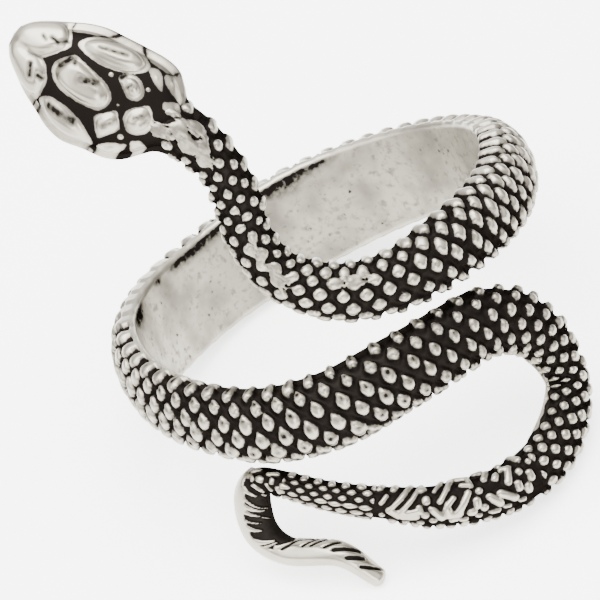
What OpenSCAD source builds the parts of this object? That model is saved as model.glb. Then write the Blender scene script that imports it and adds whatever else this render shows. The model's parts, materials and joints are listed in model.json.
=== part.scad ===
// Snake ring: one casting, a snake that winds once and a quarter round a finger.
// Its head rises above the hoop and its tail folds back twice below it.
// Millimetres, +Z up. The ring lies on its side as it rests on a table, with the
// middle of its footprint at the origin.

/* [Finger hole] */
// Inside diameter of the hoop: 18.2 mm is ring size 8
hole_d = 18.2; // [16:0.1:20]

/* [Body] */
// Width of the body across the hoop, against the route table
body_wide = 1; // [0.85:0.05:1.05]
// Thickness of the body from finger side to crown, against the route table
body_thick = 1; // [0.85:0.05:1.2]
// Depth of the grooves between the scales, on a body of ordinary width
scale_groove = 0.26; // [0.1:0.02:0.3]
// Distance from scale to scale along the body, against the route table
scale_size = 1; // [0.95:0.05:1.2]
// Length of the blunt point at the end of the tail
tip_long = 0.3; // [0.1:0.1:0.6]

/* [Head] */
// Length of the head from nape to snout
head_long = 8.3; // [7.5:0.1:9.5]
// Width of the head over the brows
head_wide = 5.6; // [5:0.1:6.4]
// Height of the head from throat to crown
head_high = 2.9; // [2.4:0.1:3.2]
// Depth of the grooves between the head's plates
plate_groove = 0.3; // [0.1:0.05:0.4]

/* [Resting] */
// How far the hoop leans back as it rests on tail and rear edge
lean_back = 25.3; // [24:0.1:28]
// How far it then leans to its right
lean_side = -2.3; // [-6:0.1:0]

/* [Hidden] */

hole_r = hole_d / 2;

// Route of the body, from the nape to the tip of the tail, a row for each station.
// angle: degrees round the finger, 0 in front and 90 at the right
// height: along the finger, above the middle of the hoop
// gap: how far the body stands off the finger
// wide, thick: the body's width across, and its thickness out from the finger
// pitch: distance from scale to scale along the body
// roll: degrees by which the rows of scales are turned to the body's lower edge
ANGLE = 0;
HEIGHT = 1;
GAP = 2;
WIDE = 3;
THICK = 4;
PITCH = 5;
ROLL = 6;
route = [
    [-27,    11.6, 1.5,  2.0, 1.8,  1.15, 0],
    [-20,    10.2, 1.3,  2.6, 2.1,  1.13, 0],
    [-14.8,   7.8, 0.6,  2.3, 2.0,  1.10, 0],
    [-14.2,   5.5, 0.2,  2.4, 1.9,  1.07, 0],
    [-15,     4.0, 0.15, 2.3, 1.8,  1.06, 0],
    [-12,     1.9, 0,    2.4, 1.7,  1.02, 0],
    [-4,      0.5, 0,    2.7, 1.7,  0.95, 0],
    [6,      -0.4, 0,    2.9, 1.7,  0.95, 0],
    [20,     -0.8, 0,    3.1, 1.8,  1.07, 0],
    [35,     -0.7, 0,    3.5, 1.9,  1.09, 0],
    [65,     -0.6, 0,    3.8, 2.0,  0.93, 0],
    [90,     -0.5, 0,    4.2, 2.2,  0.91, 0],
    [120,    -0.9, 0,    4.3, 2.2,  0.94, 0],
    [150,    -1.6, 0,    4.8, 2.2,  1.01, 0],
    [180,    -2.3, 0,    5.2, 2.2,  1.07, 0],
    [210,    -3.1, 0,    4.9, 2.2,  1.11, 4],
    [240,    -3.5, 0,    4.9, 2.0,  1.12, 8],
    [265,    -3.5, 0,    4.2, 1.7,  1.10, 9],
    [290,    -4.2, 0,    3.8, 1.5,  1.07, 9],
    [310,    -4.8, 0,    3.6, 1.6,  1.05, 9],
    [330,    -5.4, 0,    3.8, 1.7,  1.06, 9],
    [350,    -5.4, 0,    3.9, 1.7,  1.10, 9],
    [370,    -4.9, 0,    3.8, 1.7,  1.05, 9],
    [394,    -4.7, 0,    3.6, 1.7,  0.98, 9],
    [406,    -5.2, 0,    3.4, 1.7,  1.06, 11],
    [417.5,  -6.5, 0,    3.2, 1.8,  1.20, 13],
    [425,    -8.4, 0.1,  3.2, 1.7,  1.22, 12],
    [424,   -10.5, 0.15, 3.0, 1.65, 1.04, 6],
    [407,   -12.1, 0.15, 2.7, 1.65, 0.90, 0],
    [388,   -12.4, 0.15, 2.5, 1.55, 0.86, 0],
    [368,   -11.7, 0.15, 2.2, 1.45, 0.80, 0],
    [356,   -10.8, 0.15, 1.8, 1.35, 0.72, 0],
    [340,    -9.5, 0.15, 1.5, 1.25, 0.64, 0],
    [327,    -8.4, 0.15, 1.3, 1.15, 0.58, 0],
    [320,    -8.2, 0.15, 1.5, 1.15, 0.50, 0],
    [315.5,  -9.1, 0.15, 1.8, 1.25, 0.45, 0],
    [314.5, -10.7, 0.15, 1.8, 1.25, 0.45, 0],
    [321,   -11.8, 0.15, 1.3, 1.15, 0.45, 0],
    [336,   -12.4, 0.15, 1.1, 1.05, 0.45, 0],
    [344,   -14.0, 0.15, 0.8, 0.85, 0.45, 0]
];
last_row = len(route) - 1;
// From this row on, the tail has cross ribs on one flank and is smooth on the other
rib_row = 34;
rib_groove = 0.14;
// A body of ordinary width, which the depth of the grooves goes by, and the most
// that they are deepened on the wide stretches
ordinary_wide = 3.2;
deepest = 1.25;
// The peaks stand out from the body's outline by this share of the grooves' depth
crest = 0.4;

// Cross-section of the body: a low flank at each side, and over them a dome with
// seven rows of scales, the middle one on its crown
scale_rows = 7;
row_step = 27;
crown_row = (scale_rows - 1) / 2;
flank_share = 0.34;
// The back dips this far into the finger hole, which is then bored out round
bore_dip = 0.15;
bore_long = 60;
// The edge along the finger hole is broken by this much at both sides
heel_break = 0.2;
// Where the neck stands this far off the finger its back no longer dips, and is
// narrower than the flanks by this share
lift_gap = 0.5;
heel_tuck = 0.35;
// Steps per row of the route table when its length is measured
fine = 12;
// Half the step, in rows, over which the body's direction is taken
sight = 0.03;

// A smooth curve through the rows of a table, read at row number t
function row_at(table, k) =
    let (n = len(table) - 1)
    k < 0 ? 2 * table[0] - table[1]
    : k > n ? 2 * table[n] - table[n - 1]
    : table[k];
function smooth(table, t) =
    let (
        k = min(floor(t), len(table) - 2), f = t - k,
        a = row_at(table, k - 1), b = row_at(table, k),
        c = row_at(table, k + 1), d = row_at(table, k + 2)
    )
    (2 * b + (c - a) * f + (2 * a - 5 * b + 4 * c - d) * f * f
        + (3 * b - a - 3 * c + d) * f * f * f) / 2;

function unit(v) = v / norm(v);

// Middle of the body's finger side at station s of the route
function spot(s) =
    let (r = hole_r + s[GAP])
    [r * sin(s[ANGLE]), -r * cos(s[ANGLE]), s[HEIGHT]];

// Running count of half scales along the route, beside the row number t
spots = [for (k = [0 : last_row * fine]) spot(smooth(route, k / fine))];
count = [
    for (
        k = 0, n = 0;
        k <= last_row * fine;
        n = n + 2 * norm(spots[min(k + 1, last_row * fine)] - spots[k])
            / (scale_size * smooth(route, (k + 0.5) / fine)[PITCH]),
        k = k + 1
    ) [n, k / fine]
];
rings = floor(count[last_row * fine][0]);
stations = [for (i = [0 : rings]) i < rings ? lookup(i, count) : last_row];

// Scales peak where ring and column add up to an odd number, and the grooves
// between them are deepest on the wide stretches
function scale_down(i, j, s) =
    scale_groove * min(deepest, s[WIDE] / ordinary_wide)
        * ((i + j) % 2 == 1 ? -crest : 1 - crest);
// Ribs run from the flank to a ridge along the crown of the tail
function rib_down(i, j) =
    rib_groove * (j == crown_row || (j < crown_row && i % 2 == 0) ? -crest : 1 - crest);

// Points of ring i: the dome from its upper flank to its lower one, then the back
function ring_points(i) =
    let (
        t = stations[i],
        s = smooth(route, t),
        here = spot(s),
        ahead = unit(spot(smooth(route, min(t + sight, last_row)))
            - spot(smooth(route, max(t - sight, 0)))),
        radial = [sin(s[ANGLE]), -cos(s[ANGLE]), 0],
        out = unit(radial - (radial * ahead) * ahead),
        side = cross(out, ahead),
        half = s[WIDE] * body_wide / 2,
        thick = s[THICK] * body_thick,
        lift = max(0, min(1, s[GAP] / lift_gap)),
        heel = (half - heel_break) * (1 - heel_tuck * lift * lift),
        dip = bore_dip * (1 - lift)
    )
    [
        for (j = [0 : scale_rows - 1])
            let (
                a = 90 + s[ROLL] + row_step * (j - crown_row),
                down = t < rib_row ? scale_down(i, j, s) : rib_down(i, j)
            )
            here + (half - down) * cos(a) * side
                + (thick * (flank_share + (1 - flank_share) * sin(a)) - down * sin(a)) * out,
        here - heel * side - dip * out,
        here + heel * side - dip * out
    ];

body_points = [for (i = [0 : rings]) each ring_points(i)];
around = scale_rows + 2;
body_end = body_points[len(body_points) - around + crown_row];
tail_way = unit(spot(route[last_row]) - spot(smooth(route, last_row - sight)));
tail_foot = spot(route[last_row]);
tail_tip = (body_end + tail_foot) / 2 + tip_long * tail_way;

// Each four-sided patch folds along the line between its two low corners
function patch(a, b, c, d, fold_ac) =
    fold_ac ? [[a, b, c], [a, c, d]] : [[b, c, d], [b, d, a]];
function body_faces() =
    let (tip = len(body_points))
    [
        for (i = [0 : rings - 1], j = [0 : around - 1])
            let (n = (j + 1) % around)
            each patch(
                i * around + j, (i + 1) * around + j,
                (i + 1) * around + n, i * around + n,
                (i + j) % 2 == 0
            ),
        [for (j = [0 : around - 1]) j],
        for (j = [0 : around - 1])
            [rings * around + (j + 1) % around, rings * around + j, tip]
    ];

// The head, in its own frame: x from nape to snout, y to its left, z to its crown.
// along: share of its length; wide: share of its half width;
// crown, jaw: how far it reaches above and below its middle, as shares of its height
// aside: how far its middle lies to the left, in millimetres, as the head is bent a
// little on the neck
ALONG = 0;
BROAD = 1;
CROWN = 2;
JAW = 3;
ASIDE = 4;
head_form = [
    [-0.10, 0.42, 0.34, 0.30, -0.44],
    [0.00,  0.49, 0.37, 0.34, -0.40],
    [0.06,  0.66, 0.42, 0.38, -0.40],
    [0.13,  0.86, 0.47, 0.40, -0.30],
    [0.22,  0.96, 0.51, 0.41, -0.17],
    [0.34,  0.98, 0.53, 0.41, -0.05],
    [0.47,  1.00, 0.52, 0.39, 0.12],
    [0.58,  0.95, 0.50, 0.36, 0.10],
    [0.68,  0.83, 0.45, 0.33, 0.05],
    [0.78,  0.68, 0.38, 0.29, 0.08],
    [0.88,  0.50, 0.30, 0.24, 0.05],
    [0.95,  0.34, 0.22, 0.18, 0.05],
    [0.99,  0.18, 0.12, 0.10, 0.05]
];
head_rings = 44;
head_columns = 40;
// The flanks of the head are fuller than an ellipse by this power
head_fullness = 0.8;

// Plates on the crown: place of the middle, length, width and turn to the left.
// Those off the middle line have a twin on the other side.
PLATE_X = 0;
PLATE_Y = 1;
LONG = 2;
BREADTH = 3;
TURN = 4;
plates = [
    [1.55, 0,    1.5, 1.6, 0],
    [4.75, 0,    3.2, 1.9, 0],
    [2.65, 1.15, 1.3, 1.3, 0],
    [4.25, 2.15, 3.4, 1.5, -10],
    [7.30, 0.95, 2.4, 1.6, -28],
    [1.85, 2.10, 1.0, 0.8, -45],
    [0.95, 1.95, 1.1, 0.8, 35],
    [0.45, 1.05, 0.8, 0.7, 10]
];

// Length and width of the head that the table of plates is written for
plates_long = 8.5;
plates_wide = 5.8;
// The larger this is, the flatter the pillows are on top
pillow_flat = 1.7;
// Depth of the grooves on the head's flanks, as a share of that on its crown
flank_groove = 0.4;

// How high a plate's pillow stands at x, y: flat on top, with a round edge
function pillow(p, x, y) =
    let (
        dx = x - p[PLATE_X] * head_long / plates_long,
        dy = y - p[PLATE_Y] * head_wide / plates_wide,
        u = 2 * (dx * cos(p[TURN]) + dy * sin(p[TURN])) / p[LONG],
        v = 2 * (dy * cos(p[TURN]) - dx * sin(p[TURN])) / p[BREADTH]
    )
    sqrt(max(0, min(1, pillow_flat * (1 - u * u - v * v))));
function plate_down(x, y) =
    plate_groove * (1 - max([for (p = plates) max(pillow(p, x, y), pillow(p, x, -y))]));

// Place of the head on the hoop: the nape, the way to the snout and the way up
nape = [-4.3, -10.7, 10.1];
snout_way = unit([-0.585, 0.25, 0.77]);
crown_hint = [-0.14, -0.97, 0.21];
left_way = unit(cross(crown_hint, snout_way));
crown_way = cross(snout_way, left_way);
function on_head(p) = nape + p.x * snout_way + p.y * left_way + p.z * crown_way;

function head_point(i, j) =
    let (
        f = smooth(head_form, i * (len(head_form) - 1) / head_rings),
        a = 360 * j / head_columns,
        x = f[ALONG] * head_long,
        y = f[BROAD] * head_wide / 2 * sign(cos(a)) * pow(abs(cos(a)), head_fullness)
            + f[ASIDE],
        z = (sin(a) > 0 ? f[CROWN] : f[JAW]) * head_high * sin(a),
        down = j <= head_columns / 2 ? plate_down(x, y) * min(1, flank_groove + sin(a)) : 0
    )
    on_head([x, y - down * cos(a), z - down * max(0, sin(a))]);
head_points = [
    for (i = [0 : head_rings], j = [0 : head_columns - 1]) head_point(i, j)
];
function head_faces() =
    let (snout = len(head_points))
    [
        for (i = [0 : head_rings - 1], j = [0 : head_columns - 1])
            let (n = (j + 1) % head_columns)
            each patch(
                i * head_columns + j, (i + 1) * head_columns + j,
                (i + 1) * head_columns + n, i * head_columns + n,
                true
            ),
        [for (j = [0 : head_columns - 1]) j],
        for (j = [0 : head_columns - 1])
            [head_rings * head_columns + (j + 1) % head_columns,
             head_rings * head_columns + j, snout]
    ];
snout_point = on_head([head_long, 0, 0]);

// The hoop leans back on its tail and its rear edge, and its lowest points meet z = 0
function leant(p) =
    let (
        a = [p.x * cos(lean_side) + p.z * sin(lean_side), p.y,
             p.z * cos(lean_side) - p.x * sin(lean_side)]
    )
    [a.x, a.y * cos(lean_back) + a.z * sin(lean_back),
     a.z * cos(lean_back) - a.y * sin(lean_back)];
resting = [
    for (p = concat(body_points, [tail_tip], head_points, [snout_point]))
        if (norm([p.x, p.y]) > hole_r) leant(p)
];
low = [for (k = [0 : 2]) min([for (p = resting) p[k]])];
high = [for (k = [0 : 2]) max([for (p = resting) p[k]])];
rest_shift = [-(low.x + high.x) / 2, -(low.y + high.y) / 2, -low.z];

module body() {
    polyhedron(concat(body_points, [tail_tip]), body_faces(), convexity = 10);
}

module head() {
    polyhedron(concat(head_points, [snout_point]), head_faces(), convexity = 6);
}

module snake_ring() {
    color("silver")
    translate(rest_shift)
    rotate([-lean_back, 0, 0])
    rotate([0, lean_side, 0])
    difference() {
        union() {
            body();
            head();
        }
        cylinder(r = hole_r, h = bore_long, center = true, $fn = 96);
    }
}

snake_ring();
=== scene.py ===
# %% [markdown]
# # A cast snake ring, dressed in antique silver
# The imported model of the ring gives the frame: where it lies, how it leans, and how
# big it is. This lesson puts a finer skin over that model. The skin follows the same
# route and the same cross-sections, so it stays where the solid is, and adds what the
# casting shows at close range: rounded scales, head plates, a ribbed tail and a worn
# silver plate with black patina left in the grooves.

import json
import math

import bpy
import numpy as np
from mathutils import Matrix, Vector

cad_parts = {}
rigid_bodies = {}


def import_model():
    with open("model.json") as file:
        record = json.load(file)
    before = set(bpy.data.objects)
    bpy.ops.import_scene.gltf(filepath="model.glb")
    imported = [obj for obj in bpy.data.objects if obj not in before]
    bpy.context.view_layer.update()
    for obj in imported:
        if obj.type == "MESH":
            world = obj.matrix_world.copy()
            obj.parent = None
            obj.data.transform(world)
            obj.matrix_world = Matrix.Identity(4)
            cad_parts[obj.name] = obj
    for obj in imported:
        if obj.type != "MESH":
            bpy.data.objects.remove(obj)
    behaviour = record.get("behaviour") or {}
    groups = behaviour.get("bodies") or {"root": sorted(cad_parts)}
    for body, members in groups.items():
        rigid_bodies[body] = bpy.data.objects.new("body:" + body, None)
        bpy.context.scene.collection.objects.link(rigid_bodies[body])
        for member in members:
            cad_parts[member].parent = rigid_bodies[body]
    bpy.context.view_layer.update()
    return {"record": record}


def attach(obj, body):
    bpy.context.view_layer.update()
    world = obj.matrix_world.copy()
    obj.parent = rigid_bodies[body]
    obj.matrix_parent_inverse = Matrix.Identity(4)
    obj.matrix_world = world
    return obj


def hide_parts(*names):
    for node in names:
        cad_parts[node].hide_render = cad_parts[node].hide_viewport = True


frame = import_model()
MM = 0.001

# %% [markdown]
# ## How the ring lies
# The shapes below are worked out round the finger: x to the right, y to the back and z
# along the finger, from the middle of the hoop. The real ring leans back on its tail
# and its rear edge. Turning the shapes by two angles and moving them to the middle of
# the finger hole, which the record gives, puts them into the frame.

# %% From round the finger to the frame
LEAN_BACK = math.radians(25.3)
LEAN_SIDE = math.radians(-2.3)
hoop_middle = np.array(frame["record"]["mounts"][0]["pos_m"])
side_turn = Matrix.Rotation(LEAN_SIDE, 3, "Y")
back_turn = Matrix.Rotation(-LEAN_BACK, 3, "X")
lean = np.array(back_turn @ side_turn)


def place(points):
    """Points round the finger in mm, leant and moved: turn times point, plus the
    middle of the hoop, in metres."""
    return points @ lean.T * MM + hoop_middle


print("the finger's axis in the frame:", lean[:, 2].round(3))

# %% [markdown]
# ## The camera
# A photograph of a ring this small is taken from a few hundred millimetres away with a
# long lens, which is why the hoop shows hardly any perspective. The viewer looks down a
# little on the hoop, and the picture is turned by some degrees. Both angles come from
# the ellipse that the hoop draws in the photograph.

# %% Place the camera
VIEW_RISE = math.radians(18)
VIEW_ROLL = math.radians(21)
# the camera's distance and its sensor in mm, the picture and the hoop's middle in pixels
VIEW_AWAY = 330
SENSOR = 36
PIXELS_PER_MM = 21.24
PICTURE = 600
HOOP_PIXEL = (306, 232.7)
NEAREST_SEEN = 10

level = np.array([1, 0, 0])
upright = np.array([0, math.sin(VIEW_RISE), math.cos(VIEW_RISE)])
toward = np.array([0, -math.cos(VIEW_RISE), math.sin(VIEW_RISE)])
right = math.cos(VIEW_ROLL) * level - math.sin(VIEW_ROLL) * upright
up = math.sin(VIEW_ROLL) * level + math.cos(VIEW_ROLL) * upright
aim = ((PICTURE / 2 - HOOP_PIXEL[0]) * right - (PICTURE / 2 - HOOP_PIXEL[1]) * up) / PIXELS_PER_MM
camera_data = bpy.data.cameras.new("camera")
camera_data.sensor_width = SENSOR
camera_data.lens = SENSOR * VIEW_AWAY * PIXELS_PER_MM / PICTURE
camera_data.clip_start = NEAREST_SEEN * MM
camera_data.dof.use_dof = False
camera = bpy.data.objects.new("camera", camera_data)
bpy.context.scene.collection.objects.link(camera)
turned = Matrix([lean @ right, lean @ up, lean @ toward]).transposed()
camera.matrix_world = Matrix.Translation(Vector(place(aim + VIEW_AWAY * toward))) @ turned.to_4x4()
bpy.context.scene.camera = camera
print("lens, mm:", round(camera_data.lens, 1))

# %% [markdown]
# ## The route of the body
# One snake, one path: down the neck, once round the finger, then back and forth below
# the hoop. A handful of stations says where the middle of the finger side runs and how
# wide and thick the body is there. A Catmull-Rom curve goes through all stations, which
# a Bezier curve would only do with handles set by hand.

# %% The stations
# degrees round the finger, then in mm: height, gap to the finger, width, thickness and the
# spacing of the scales along the body, and last the turn of their rows in degrees
ANGLE, HEIGHT, GAP, WIDE, THICK, PITCH, ROLL = range(7)
ROUTE = np.array([
    [-27.0, 11.6, 1.5, 2.0, 1.8, 1.15, 0],
    [-20.0, 10.2, 1.3, 2.6, 2.1, 1.13, 0],
    [-14.8, 7.8, 0.6, 2.3, 2.0, 1.1, 0],
    [-14.2, 5.5, 0.2, 2.4, 1.9, 1.07, 0],
    [-15.0, 4.0, 0.15, 2.3, 1.8, 1.06, 0],
    [-12.0, 1.9, 0.0, 2.4, 1.7, 1.02, 0],
    [-4.0, 0.5, 0.0, 2.7, 1.7, 0.95, 0],
    [6.0, -0.4, 0.0, 2.9, 1.7, 0.95, 0],
    [20.0, -0.8, 0.0, 3.1, 1.8, 1.07, 0],
    [35.0, -0.7, 0.0, 3.5, 1.9, 1.09, 0],
    [65.0, -0.6, 0.0, 3.8, 2.0, 0.93, 0],
    [90.0, -0.5, 0.0, 4.2, 2.2, 0.91, 0],
    [120.0, -0.9, 0.0, 4.3, 2.2, 0.94, 0],
    [150.0, -1.6, 0.0, 4.8, 2.2, 1.01, 0],
    [180.0, -2.3, 0.0, 5.2, 2.2, 1.07, 0],
    [210.0, -3.1, 0.0, 4.9, 2.2, 1.11, 4],
    [240.0, -3.5, 0.0, 4.9, 2.0, 1.12, 8],
    [265.0, -3.5, 0.0, 4.2, 1.7, 1.1, 9],
    [290.0, -4.2, 0.0, 3.8, 1.5, 1.07, 9],
    [310.0, -4.8, 0.0, 3.6, 1.6, 1.05, 9],
    [330.0, -5.4, 0.0, 3.8, 1.7, 1.06, 9],
    [350.0, -5.4, 0.0, 3.9, 1.7, 1.1, 9],
    [370.0, -4.9, 0.0, 3.8, 1.7, 1.05, 9],
    [394.0, -4.7, 0.0, 3.6, 1.7, 0.98, 9],
    [406.0, -5.2, 0.0, 3.4, 1.7, 1.06, 11],
    [417.5, -6.5, 0.0, 3.2, 1.8, 1.2, 13],
    [425.0, -8.4, 0.1, 3.2, 1.7, 1.22, 12],
    [424.0, -10.5, 0.15, 3.0, 1.65, 1.04, 6],
    [407.0, -12.1, 0.15, 2.7, 1.65, 0.9, 0],
    [388.0, -12.4, 0.15, 2.5, 1.55, 0.86, 0],
    [368.0, -11.7, 0.15, 2.2, 1.45, 0.8, 0],
    [356.0, -10.8, 0.15, 1.8, 1.35, 0.72, 0],
    [340.0, -9.5, 0.15, 1.5, 1.25, 0.64, 0],
    [327.0, -8.4, 0.15, 1.3, 1.15, 0.58, 0],
    [320.0, -8.2, 0.15, 1.5, 1.15, 0.5, 0],
    [315.5, -9.1, 0.15, 1.8, 1.25, 0.45, 0],
    [314.5, -10.7, 0.15, 1.8, 1.25, 0.45, 0],
    [321.0, -11.8, 0.15, 1.3, 1.15, 0.45, 0],
    [336.0, -12.4, 0.15, 1.1, 1.05, 0.45, 0],
    [344.0, -14.0, 0.15, 0.8, 0.85, 0.45, 0],
])
print("stations:", len(ROUTE), "widest, mm:", ROUTE[:, WIDE].max())

# %% The curve through the stations
HOLE_R = 9.1
CURVE_POINTS = 8000


def smooth(table, t):
    """Rows of a table read at row numbers t: the Catmull-Rom cubic through the four
    rows around each t, with the ends carried on in a straight line."""
    ends = [2 * table[:1] - table[1:2], table, 2 * table[-1:] - table[-2:-1]]
    rows = np.concatenate(ends)
    k = np.clip(np.floor(t).astype(int), 0, len(table) - 2)
    f = (t - k)[:, None]
    a, b, c, d = rows[k], rows[k + 1], rows[k + 2], rows[k + 3]
    return (2 * b + (c - a) * f + (2 * a - 5 * b + 4 * c - d) * f**2
            + (3 * b - a - 3 * c + d) * f**3) / 2


def spot(s):
    """Middle of the finger side: a circle of the hole's radius plus the gap, at the
    station's angle and height."""
    angle = np.radians(s[:, ANGLE])
    r = HOLE_R + s[:, GAP]
    return np.stack([r * np.sin(angle), -r * np.cos(angle), s[:, HEIGHT]], 1)


fine_t = np.linspace(0, len(ROUTE) - 1, CURVE_POINTS)
fine_s = smooth(ROUTE, fine_t)
steps = np.linalg.norm(np.diff(spot(fine_s), axis=0), axis=1)
fine_length = np.concatenate([[0], np.cumsum(steps)])
mean_pitch = (fine_s[1:, PITCH] + fine_s[:-1, PITCH]) / 2
fine_count = np.concatenate([[0], np.cumsum(steps / mean_pitch)])
print("body, mm:", round(fine_length[-1], 1), "scales along it:", round(fine_count[-1], 1))

# %% [markdown]
# ## What the skin of the snake looks like
# The real scales are studs: flat or gently domed tops that are polished bright, and
# between them grooves a quarter of a millimetre deep, filled with black patina. They
# stand in seven rows, each row set half a scale on from the next. A particle system or
# a displacement texture could draw them, but the scales change along the body from
# round dots to diamonds to teardrops. So for each point of the skin numpy works out
# how far it lies from the edge of the nearest top, in mm, less than nothing on a top
# and more than nothing in a groove. That one number drives the relief and the finish.

# %% How the scales change along the body
# at: mm from the nape; along, across: half the size of a top, in scale pitches and in
# rows; power: 1 is a diamond, 2 an ellipse; taper and tail: how far the teardrop's point
# narrows and leans; eye: how strong the small hollow in the top is, and the dark reflection painted in
# it
AT, ALONG, ACROSS, POWER, TAPER, TAIL, EYE = range(7)
LOOKS = np.array([
    [0.0, 0.23, 0.44, 2.0, 0.0, 0.00, 0.1],
    [8.0, 0.24, 0.46, 2.0, 0.0, 0.00, 0.1],
    [13.0, 0.33, 0.55, 1.8, 0.1, 0.02, 0.2],
    [16.5, 0.30, 0.58, 1.5, 0.1, 0.03, 0.2],
    [19.0, 0.27, 0.76, 1.2, 0.0, 0.02, 0.0],
    [25.0, 0.26, 0.82, 1.1, 0.0, 0.02, 0.0],
    [32.0, 0.31, 0.78, 1.2, 0.0, 0.02, 0.0],
    [50.0, 0.36, 0.72, 1.3, 0.1, 0.06, 0.0],
    [58.0, 0.33, 0.67, 1.5, 0.3, 0.10, 0.3],
    [62.0, 0.31, 0.68, 1.7, 0.4, 0.12, 0.8],
    [66.0, 0.29, 0.68, 1.8, 0.5, 0.10, 1.0],
    [73.0, 0.26, 0.58, 2.0, 0.5, 0.10, 1.0],
    [77.0, 0.22, 0.50, 1.9, 0.2, 0.06, 0.5],
    [80.0, 0.22, 0.48, 1.6, 0.0, 0.02, 0.2],
    [83.0, 0.26, 0.50, 1.4, 0.0, 0.02, 0.1],
    [88.0, 0.30, 0.50, 1.5, 0.0, 0.00, 0.2],
    [92.0, 0.30, 0.42, 1.8, 0.0, 0.00, 0.2],
    [98.0, 0.32, 0.44, 1.7, 0.1, 0.00, 0.0],
    [112.0, 0.32, 0.44, 1.8, 0.1, 0.00, 0.0],
])
print("kinds of scale along the body:", len(LOOKS))

# %% [markdown]
# ## No two scales alike
# The master of a casting is cut by hand, so its scales differ by some hundredths of a
# millimetre in size and place, and rows that were all alike would look machined. A table
# of random numbers gives each top its own size, width, place and eye. The numbers are
# drawn once, from a fixed seed, so the ring is the same each time.

# %% Rows, and how one top differs from the next
# seven rows, the fourth along the crown, stand 27 degrees apart round the back, and the
# flanks take the lower third of the thickness
ROWS = 7
CROWN_ROW = 3
ROW_STEP = 27
FLANK_SHARE = 0.34
SCALE_COUNT = 300
# how much a top differs from the next: its size, its width, its place across the rows and
# along them, and its eye
SIZE_VARIES, WIDTH_VARIES, ROW_VARIES, PLACE_VARIES, EYE_VARIES = 0.08, 0.06, 0.07, 0.035, 0.25
# the eye lies a little off the middle of the top and is this wide
EYE_OFF, EYE_MM = 0.12, 0.12
random = np.random.default_rng(7)
jitter = random.uniform(-1, 1, (4, SCALE_COUNT, ROWS))
print("rows:", ROWS, "tops that can differ:", SCALE_COUNT * ROWS)

# %% Soft steps and soft joins
def softstep(low, high, x):
    """0 below low, 1 above high, and 3x^2 - 2x^3 of the share between them."""
    f = np.clip((x - low) / (high - low), 0, 1)
    return f * f * (3 - 2 * f)


def soft_least(a, b, round_off):
    """The smaller of a and b, with the crease between them rounded over a width."""
    share = np.clip(0.5 + (b - a) / (2 * round_off), 0, 1)
    return b + (a - b) * share - round_off * share * (1 - share)


print("a quarter of the way up a soft step:", softstep(0, 1, 0.25))

# %% The distance from the nearest top
def top_edge(u, v, looks, pitch, row_mm, rim_share, first_u, first_v):
    """Distance in mm outside the nearest top among every second row from first_v, whose
    middles lie at whole counts after first_u: a superellipse, where
    (du / along)^power + (dv / across)^power = 1, narrower towards one side. Beyond the
    two outer rows dv counts only by rim_share, so those tops reach over the rim. Also
    the strength of the small hollow in that top and of the dark reflection painted in it, a Gauss
    bell, and du / along."""
    centre_u = np.round(u - first_u) + first_u
    last_v = ROWS - 1 - first_v
    centre_v = np.clip(2 * np.round((v - first_v) / 2) + first_v, first_v, last_v)
    cell = (centre_u * 2).astype(int) % SCALE_COUNT, centre_v.astype(int)
    size = 1 + SIZE_VARIES * jitter[0][cell]
    dv = v - centre_v - ROW_VARIES * jitter[1][cell]
    beyond = ((centre_v == 0) & (dv < 0)) | ((centre_v == ROWS - 1) & (dv > 0))
    dv = np.where(beyond, dv * rim_share, dv)
    across = looks[..., ACROSS] * size * (1 + WIDTH_VARIES * jitter[3][cell])
    high = np.where(beyond, 0, np.clip(-dv / across, 0, 1))
    du = u - centre_u - PLACE_VARIES * jitter[2][cell] + looks[..., TAIL] * high**2
    along = looks[..., ALONG] * size * (1 - looks[..., TAPER] * high)
    power = looks[..., POWER]
    away = (np.abs(du / along) ** power + np.abs(dv / across) ** power) ** (1 / power)
    reach = np.minimum(looks[..., ALONG] * pitch, looks[..., ACROSS] * row_mm)
    eye_out = np.hypot(du * pitch, (dv + EYE_OFF) * row_mm)
    eye = looks[..., EYE] * (1 - EYE_VARIES + EYE_VARIES * jitter[3][cell])
    eye = eye * np.exp(-((eye_out / EYE_MM) ** 2))
    return (away - 1) * reach, eye, du / along


def scales(u, v, looks, pitch, row_mm, rim_share):
    """The two sets of staggered rows together: the smaller distance counts. The third
    value runs from -1 to 1 over a top, from its rooted end to its free end."""
    even, even_eye, even_rise = top_edge(u, v, looks, pitch, row_mm, rim_share, 0.5, 0)
    odd, odd_eye, odd_rise = top_edge(u, v, looks, pitch, row_mm, rim_share, 0.0, 1)
    rise = np.where(even < odd, even_rise, odd_rise)
    return np.minimum(even, odd), np.maximum(even_eye, odd_eye), rise


print("staggered sets of", (ROWS + 1) // 2, "and", ROWS // 2, "rows")

# %% [markdown]
# ## Where the casting is worn, merged or different
# Cheap castings are not even. On the neck some tops have run together into bright
# islands, in front of the tail's tip the scales become slanted bars that join in a
# zigzag, and the last fold of the tail has fine ribs on one flank and none on the
# other. A painted mask could show this too, but capsules need no picture: each is a bar
# from one point of the skin to another, with a radius. Places are mm along the body from
# the nape and degrees round its back, from the upper edge to the lower.

# %% The island at the nape and the worn places
# each row: from mm, degrees, to mm, degrees, radius in mm
# the bright island at the nape
ISLANDS = np.array([
    [1.6, 92, 1.8, 80, 0.08], [1.9, 78, 2.2, 72, 0.16], [2.2, 72, 2.6, 75, 0.22],
    [2.6, 75, 3.1, 80, 0.20], [3.2, 81, 3.9, 86, 0.05], [2.0, 40, 2.7, 45, 0.10],
])
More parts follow.
